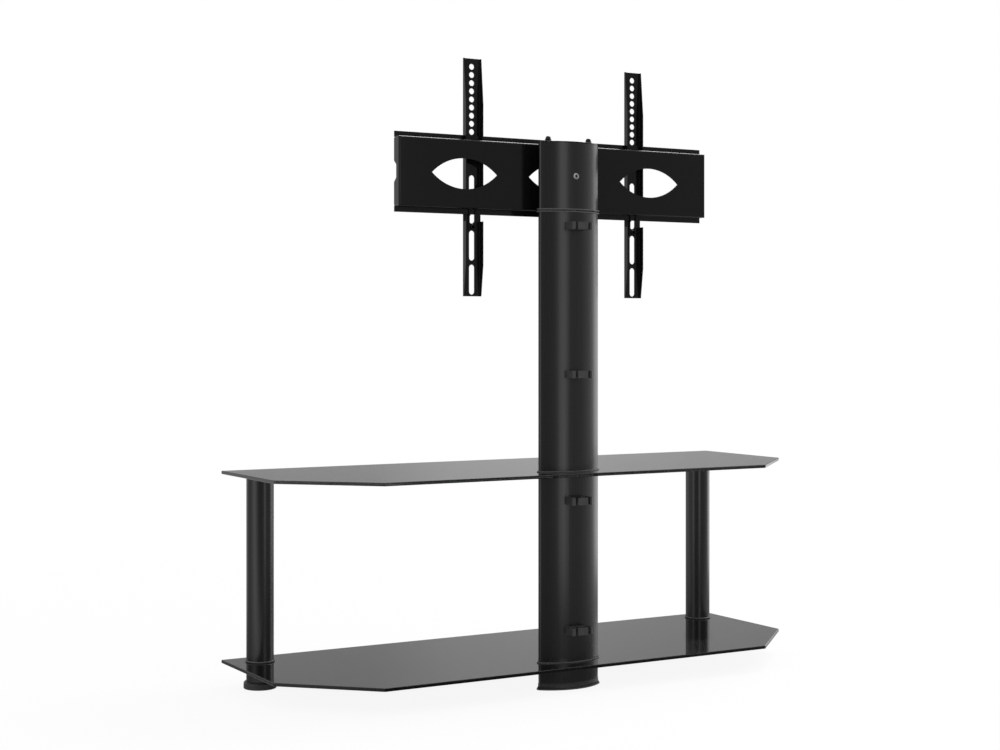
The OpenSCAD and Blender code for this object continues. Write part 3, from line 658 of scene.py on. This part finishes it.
socket_screw(
    "back_bolt",
    "button_head_bolt",
    head_h=1.4 * MM,
    shank_share=0.52,
    socket_share=0.42,
    dome_share=0.46,
    socket_depth=3.5 * MM,
)
socket_screw(
    "clip_screws",
    "clip_socket_screws",
    head_h=1.5 * MM,
    shank_share=0.58,
    socket_share=0.5,
    dome_share=0.3,
    socket_depth=1.2 * MM,
)
for side in ("left", "right"):
    socket_screw(
        f"lock_screw_{side}",
        f"lock_socket_screw_{side}",
        head_h=2.6 * MM,
        shank_share=0.54,
        socket_share=0.5,
        dome_share=0.3,
        socket_depth=1.8 * MM,
    )


# %% [markdown]
# ## Levelling feet
# A foot is moulded in one piece: a round shoulder, an upright side, and a recessed sole that leaves a
# narrow ring to stand on. The outline is drawn as a stack of rings with the shoulder as a quarter
# circle.
# %% Levelling feet
SOLE_RECESS = 1.2 * MM
SOLE_RING = 6 * MM
FOOT_CHAMFER = 0.8 * MM
SHOULDER_R = 4.5 * MM
STUD_R = 4.1 * MM
STUD_HOLE = 8 * MM


def foot_levels(radius, height):
    """Rings of a foot from its recessed sole over the shoulder into the hole for its stud."""
    rim = radius - SOLE_RING
    levels = [(rim - SOLE_RECESS, SOLE_RECESS, ROUND_SIDES), (rim, 0, ROUND_SIDES)]
    levels += [(radius - FOOT_CHAMFER, 0, ROUND_SIDES), (radius, FOOT_CHAMFER, ROUND_SIDES)]
    for step in range(DOME_STEPS + 1):
        angle = math.radians(90) * step / DOME_STEPS
        across = radius - SHOULDER_R + SHOULDER_R * math.cos(angle)
        levels.append((across, height - SHOULDER_R + SHOULDER_R * math.sin(angle), ROUND_SIDES))
    levels += [(STUD_R, height, ROUND_SIDES), (STUD_R, height - STUD_HOLE, ROUND_SIDES)]
    return levels


for side in ("left", "right"):
    low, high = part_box(f"foot_pad_{side}")
    middle = (low + high) / 2
    bm = bmesh.new()
    stack_rings(bm, foot_levels((high.x - low.x) / 2, high.z - low.z))
    copies_at(bm, [Vector((middle.x, middle.y, low.z))])
    place_piece(bm, f"moulded_foot_{side}", f"foot_pad_{side}")
    print(f"{side} foot {(high.x - low.x) / MM:.0f} mm across")

# %% [markdown]
# ## Threads
# A foot's stud shows when the foot is screwed out. Its thread is drawn as turned grooves, one a pitch:
# the rise of a real thread over one turn is too small to see.
# %% Threaded studs of the feet
PITCH = 1.25 * MM
THREAD_DEPTH = 0.65 * MM

for side in ("left", "right"):
    low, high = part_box(f"foot_stud_{side}")
    radius = (high.x - low.x) / 2
    turns = int((high.z - low.z) / PITCH)
    levels = [(radius - THREAD_DEPTH, 0, ROUND_SIDES)]
    for turn in range(turns):
        levels.append((radius, (turn + 0.5) * PITCH, ROUND_SIDES))
        levels.append((radius - THREAD_DEPTH, (turn + 1) * PITCH, ROUND_SIDES))
    levels[-1] = (radius - THREAD_DEPTH, high.z - low.z, ROUND_SIDES)
    middle = (low + high) / 2
    bm = bmesh.new()
    stack_rings(bm, levels)
    copies_at(bm, [Vector((middle.x, middle.y, low.z))])
    place_piece(bm, f"foot_thread_{side}", f"foot_stud_{side}")
    print(f"{side} stud: {turns} turns")

# %% [markdown]
# ## Floor
# The studio floor is a white board under the object. To the camera it must read as paper white, yet
# keep a trace of the object's shadow, so for camera, glossy and transmitted rays most of it glows at
# strength one, and the rest is a plain matt board that the object shades. Away from the object the glow
# grows to the whole, so that the board runs into the background without a horizon.
# %% White floor that keeps a shadow
FLOOR_HALF = 14
FLOOR_DROP = 0.2 * MM
FLOOR_GLOW = 0.91
SHADED_REACH = 0.7
FADE_REACH = 2.2


def bare_tree(owner):
    """The emptied node tree of a material or a world."""
    owner.use_nodes = True
    owner.node_tree.nodes.clear()
    return owner.node_tree


def picture_rays(tree):
    """A socket that is one for the rays that show white: camera, glossy and transmission rays."""
    rays = add_node(tree, "ShaderNodeLightPath").outputs
    seen = add_node(
        tree, "ShaderNodeMath", {0: rays["Is Camera Ray"], 1: rays["Is Glossy Ray"]}, operation="ADD"
    )
    shown = add_node(
        tree,
        "ShaderNodeMath",
        {0: seen.outputs[0], 1: rays["Is Transmission Ray"]},
        operation="ADD",
        use_clamp=True,
    )
    return shown.outputs[0]


bm = bmesh.new()
bmesh.ops.create_grid(bm, x_segments=1, y_segments=1, size=FLOOR_HALF)
bmesh.ops.translate(bm, vec=(0, 0, -FLOOR_DROP), verts=bm.verts)
floor = object_of(bm, "studio_floor")

board_material = bpy.data.materials.new("matt_white_board")
tree = bare_tree(board_material)
place = add_node(tree, "ShaderNodeTexCoord").outputs["Object"]
away = add_node(tree, "ShaderNodeVectorMath", {0: place}, operation="LENGTH")
glow_share = add_node(
    tree,
    "ShaderNodeMapRange",
    {
        "Value": away.outputs["Value"],
        "From Min": SHADED_REACH,
        "From Max": FADE_REACH,
        "To Min": FLOOR_GLOW,
    },
)
share = add_node(
    tree, "ShaderNodeMath", {0: picture_rays(tree), 1: glow_share.outputs[0]}, operation="MULTIPLY"
)
board = add_node(tree, "ShaderNodeBsdfDiffuse", {"Color": linear("#ededed")})
glow = add_node(tree, "ShaderNodeEmission", {"Color": (1, 1, 1, 1), "Strength": 1.0})
mixed = add_node(
    tree, "ShaderNodeMixShader", {0: share.outputs[0], 1: board.outputs[0], 2: glow.outputs[0]}
)
add_node(tree, "ShaderNodeOutputMaterial", {"Surface": mixed.outputs[0]})
floor.data.materials.append(board_material)
print(f"floor {2 * FLOOR_HALF} m wide")

# %% [markdown]
# ## Background and soft light
# The background is white paper: camera, glossy and transmitted rays see it at strength one. Matt
# surfaces get a little less from it, because the lamps add the rest, and together they show a colour as
# it is written.
# %% World
DOME_LIGHT = 0.7

world = bpy.data.worlds.new("white_studio")
bpy.context.scene.world = world
tree = bare_tree(world)
strength = add_node(
    tree, "ShaderNodeMapRange", {"Value": picture_rays(tree), "To Min": DOME_LIGHT, "To Max": 1.0}
)
paper = add_node(
    tree, "ShaderNodeBackground", {"Color": (1, 1, 1, 1), "Strength": strength.outputs[0]}
)
add_node(tree, "ShaderNodeOutputWorld", {"Surface": paper.outputs[0]})
print(f"white background, {DOME_LIGHT} for matt surfaces")

# %% [markdown]
# ## What the reflections see
# Black gloss shows its room. In an all-white room it turns grey and flat, so a photographer hangs grey
# cloth round the object and lets only chosen boxes of light show in it. Only reflections see the pieces
# of this studio: they take no light away from matt surfaces.
# %% Pieces that only reflections see
def reflected_piece(name, bm):
    """Put a glowing mesh on the stage for reflections only and return its node tree and its glow."""
    piece = object_of(bm, name)
    material = bpy.data.materials.new(name)
    tree = bare_tree(material)
    glow = add_node(tree, "ShaderNodeEmission", {"Color": (1, 1, 1, 1), "Strength": 1.0})
    add_node(tree, "ShaderNodeOutputMaterial", {"Surface": glow.outputs[0]})
    piece.data.materials.append(material)
    for kind in ("camera", "diffuse", "transmission", "shadow", "volume_scatter"):
        setattr(piece, f"visible_{kind}", False)
    return tree, glow


# %% [markdown]
# ## Cloth all round
# The cloth is a strip of floor that turns up into a wall, swept once round the stand. Its brightness
# changes with the direction in which a reflection looks. A table gives it as pairs of degrees round the
# stand and brightness: dark where the middle of the column looks, and lighter where its sides and the
# shelves look at a grazing angle. Near the object the cloth's glow is turned down: this is painted
# shade, standing in for the shade that a real cloth gets from the object.
# %% Grey cloth round the stand
CLOTH_NEAR = 0.165
CLOTH_FAR = 5
CLOTH_LIFT = 1 * MM
CLOTH_HEIGHT = 4.5
CLOTH_STEPS = 96
CLOTH_TONES = [
    (0, 0.55), (14, 0.9), (30, 0.5), (46, 0.15), (75, 0.2), (120, 0.23), (140, 0.29), (155, 0.45),
    (172, 0.7), (200, 0.5), (215, 0.35), (231, 0.44), (239, 0.51), (243, 0.49), (248, 0.38),
    (270, 0.4), (300, 0.72), (320, 0.34), (345, 0.36), (360, 0.55),
]
# Painted shade: the share of its full glow that the cloth keeps next to the object.
NEAR_PAINTED_SHADE = 0.6
PAINTED_SHADE_END = 1.6

bm = bmesh.new()
profile = ((CLOTH_NEAR, 0, CLOTH_LIFT), (CLOTH_FAR, 0, CLOTH_LIFT), (CLOTH_FAR, 0, CLOTH_HEIGHT))
points = [bm.verts.new(point) for point in profile]
edges = [bm.edges.new(pair) for pair in zip(points, points[1:])]
bmesh.ops.spin(
    bm,
    geom=points + edges,
    cent=(0, 0, 0),
    axis=(0, 0, 1),
    angle=math.radians(360),
    steps=CLOTH_STEPS,
    use_merge=True,
)
tree, glow = reflected_piece("grey_cloth", bm)
place = add_node(tree, "ShaderNodeTexCoord").outputs["Object"]
half_turn = add_node(tree, "ShaderNodeMapping", {"Vector": place, "Rotation": (0, 0, math.radians(180))})
direction = add_node(
    tree, "ShaderNodeTexGradient", {"Vector": half_turn.outputs[0]}, gradient_type="RADIAL"
)
tones = add_node(tree, "ShaderNodeValToRGB", {0: direction.outputs["Fac"]})
ramp = tones.color_ramp
for degrees, brightness in CLOTH_TONES[1:-1]:
    ramp.elements.new(degrees / 360).color = (brightness, brightness, brightness, 1)
for end in (0, -1):
    brightness = CLOTH_TONES[end][1]
    ramp.elements[end].color = (brightness, brightness, brightness, 1)
tree.links.new(tones.outputs["Color"], glow.inputs["Color"])
away = add_node(tree, "ShaderNodeVectorMath", {0: place}, operation="LENGTH")
# Painted shade: the glow is turned down towards the object.
shade = add_node(
    tree,
    "ShaderNodeMapRange",
    {
        "Value": away.outputs["Value"],
        "From Min": CLOTH_NEAR,
        "From Max": PAINTED_SHADE_END,
        "To Min": NEAR_PAINTED_SHADE,
    },
)
tree.links.new(shade.outputs[0], glow.inputs["Strength"])
print(f"cloth: {len(CLOTH_TONES)} tones")


# %% [markdown]
# ## Boxes of light
# Round and lens-shaped metal is drawn by upright stripes, and a folded edge by one long line. Each
# comes from a flat box of light: a soft one straight behind the stand, a wider and brighter one at the
# side away from the camera, and the brightest one high up, which looks down on the plate's bend. A real
# softbox fades towards its sides, so the outer part of each box turns clear and leaves no hard line in
# the shelves. The fade is measured across a box only: in the two other directions its ball of shade is
# so large that it doesn't count.
# %% Boxes of light
LIGHT_HEIGHT = 0.7
FADING_SHARE = 0.4
UNLIMITED = 100
column_middle = sum(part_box("column_upper"), Vector()) / 2
column_middle.z = LIGHT_HEIGHT


def light_box(name, middle, size, brightness, aim=column_middle):
    """A flat box of light that faces the aim and that only reflections see."""
    middle = Vector(middle)
    turn = (Vector(aim) - middle).to_track_quat("Z", "Y").to_matrix().to_4x4()
    bm = bmesh.new()
    bmesh.ops.create_grid(bm, x_segments=1, y_segments=1, size=0.5)
    bmesh.ops.scale(bm, vec=(*size, 1), verts=bm.verts)
    bmesh.ops.transform(bm, matrix=Matrix.Translation(middle) @ turn, verts=bm.verts)
    tree, glow = reflected_piece(name, bm)
    glow.inputs["Strength"].default_value = brightness
    place = add_node(tree, "ShaderNodeTexCoord").outputs["Object"]
    across = add_node(
        tree,
        "ShaderNodeMapping",
        {
            "Vector": place,
            "Location": middle,
            "Rotation": turn.to_euler(),
            "Scale": (size[0] / 2, UNLIMITED, UNLIMITED),
        },
        vector_type="TEXTURE",
    )
    inward = add_node(
        tree, "ShaderNodeTexGradient", {"Vector": across.outputs[0]}, gradient_type="SPHERICAL"
    )
    faded = add_node(
        tree, "ShaderNodeMapRange", {"Value": inward.outputs["Fac"], "From Max": FADING_SHARE}
    )
    clear = add_node(tree, "ShaderNodeBsdfTransparent")
    soft = add_node(
        tree, "ShaderNodeMixShader", {0: faded.outputs[0], 1: clear.outputs[0], 2: glow.outputs[0]}
    )
    tree.links.new(soft.outputs[0], tree.nodes["Material Output"].inputs["Surface"])
    print(f"{name}: brightness {brightness}")


LIGHT_BOXES = {
    "back_box": {"middle": (0, 1.3, 0.75), "size": (0.475, 1.6), "brightness": 0.9},
    "side_box": {"middle": (-1.5, -0.2, 0.75), "size": (0.9, 2.2), "brightness": 2.0},
    "high_box": {
        "middle": (-1.0, -0.95, 2.6),
        "size": (2.0, 1.2),
        "brightness": 10.5,
        "aim": (-1.0, -0.95, 0),
    },
}
for name, settings in LIGHT_BOXES.items():
    light_box(name, **settings)

# %% [markdown]
# ## Lamps
# Matt surfaces and the floor's shadow need lamps. Three soft ones stand round the stand and one hangs
# above it. The camera doesn't see them, and neither does the metal, which has the boxes above.
# %% Softboxes
def softbox(name, direction, distance, height, size, power):
    """A rectangular lamp that faces the middle of the stand, placed by its direction in degrees."""
    light = bpy.data.lights.new(name, "AREA")
    light.shape = "RECTANGLE"
    light.size, light.size_y = size
    light.energy = power
    lamp = bpy.data.objects.new(name, light)
    angle = math.radians(direction)
    lamp.location = (distance * math.cos(angle), distance * math.sin(angle), height)
    aim = Vector((0, 0, min(height, LIGHT_HEIGHT))) - lamp.location
    lamp.rotation_euler = aim.to_track_quat("-Z", "Y").to_euler()
    lamp.visible_camera = False
    lamp.visible_glossy = False
    bpy.context.scene.collection.objects.link(lamp)
    print(f"{name}: {direction} degrees, {power} W")


UPRIGHT_LAMP = {"distance": 3.0, "height": 1.4, "size": (0.9, 2.8)}
softbox("left_lamp", direction=20, power=20, **UPRIGHT_LAMP)
softbox("back_lamp", direction=95, power=16, **UPRIGHT_LAMP)
softbox("right_lamp", direction=178, power=48, **UPRIGHT_LAMP)
softbox("overhead_lamp", direction=190, power=30, distance=1.6, height=2.6, size=(1.2, 1.2))
